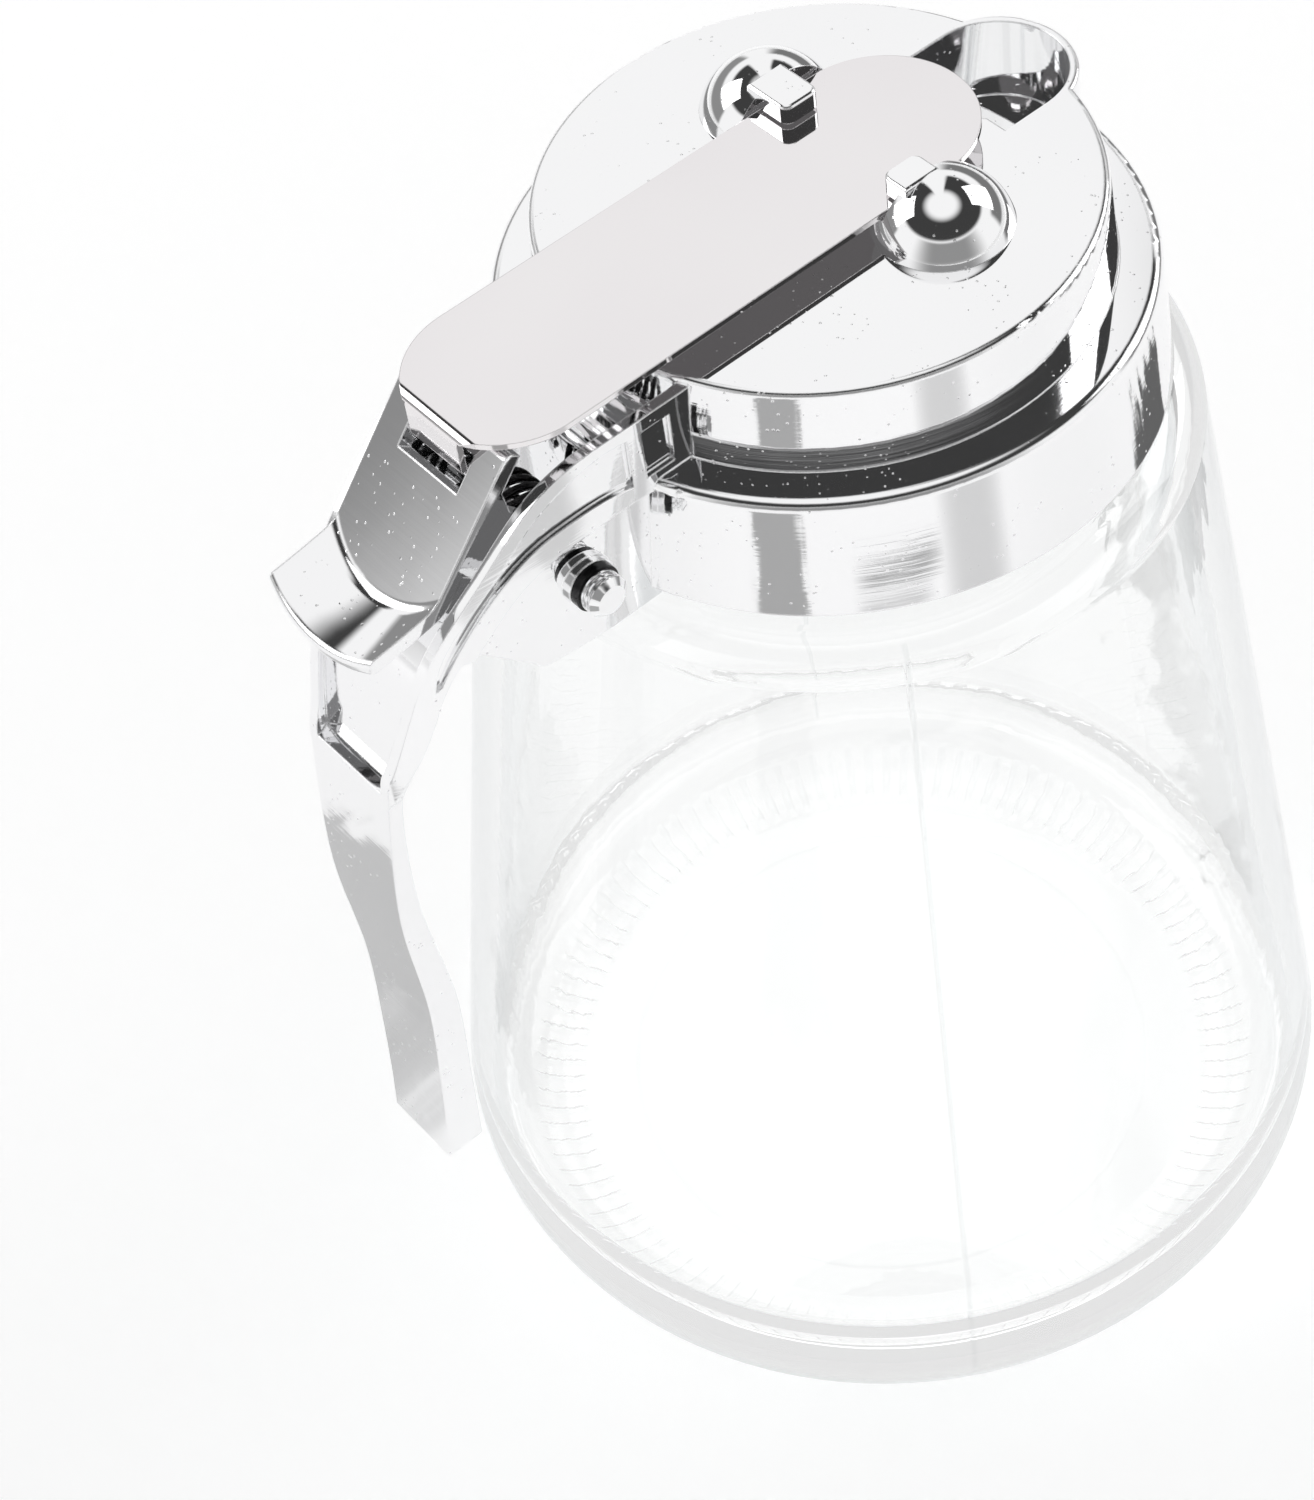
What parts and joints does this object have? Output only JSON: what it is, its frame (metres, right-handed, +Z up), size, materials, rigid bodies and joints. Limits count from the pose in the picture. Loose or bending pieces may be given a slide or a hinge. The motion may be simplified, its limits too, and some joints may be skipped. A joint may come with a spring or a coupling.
{
  "type": "syrup dispenser",
  "caption": "Tapered clear glass syrup jar with a plated pouring lid, a sliding shutter blade and a sprung thumb lever above a curved grip.",
  "frame": {"origin": "on the jar's axis, at the flat base it stands on", "axes": "+Z up along the jar's axis, +X towards the pouring spout, the grip on -X"},
  "size_m": [0.1098, 0.0976, 0.1404],
  "materials": {
    "clear_glass": "clear, polished",
    "plated_metal": "mirror polished plating",
    "blade_steel": "polished",
    "black_wire": "black, satin",
    "soft_seal": "matt, food grade"
  },
  "bodies": {
    "jar": {"glass_jar": "clear_glass"},
    "seal": {"sealing_ring": "soft_seal"},
    "lid": {"lid_body": "plated_metal", "guide_stud_left": "plated_metal", "guide_stud_right": "plated_metal", "pivot_pin": "plated_metal", "retaining_rings": "black_wire", "torsion_spring": "black_wire"},
    "lever": {"thumb_lever": "plated_metal"},
    "blade": {"shutter_blade": "blade_steel"}
  },
  "joints": [
    {"name": "lid_rise", "type": "slide", "parent": "jar", "child": "seal", "axis": [0, 0, 1], "range_m": [0, 0.004]},
    {"name": "lid_turn", "type": "hinge", "parent": "seal", "child": "lid", "pos_m": [0, 0, 0.1245], "axis": [0, 0, 1], "range_deg": [0, 450]},
    {"name": "lever_press", "type": "hinge", "parent": "lid", "child": "lever", "pos_m": [-0.0362, 0, 0.1206], "axis": [0, 1, 0], "range_deg": [0, 43], "stiffness_Nm_per_rad": 0.05, "springref_deg": 68.75, "deforming": ["torsion_spring"]},
    {"name": "blade_slide", "type": "slide", "parent": "lid", "child": "blade", "axis": [1, 0, 0], "range_m": [0, 0.012]}
  ],
  "couplings": [
    {"joint": "lid_rise", "follows": "lid_turn", "m_per_rad": 0.00050532},
    {"joint": "lever_press", "follows": "blade_slide", "rad_per_m": 62.54}
  ]
}
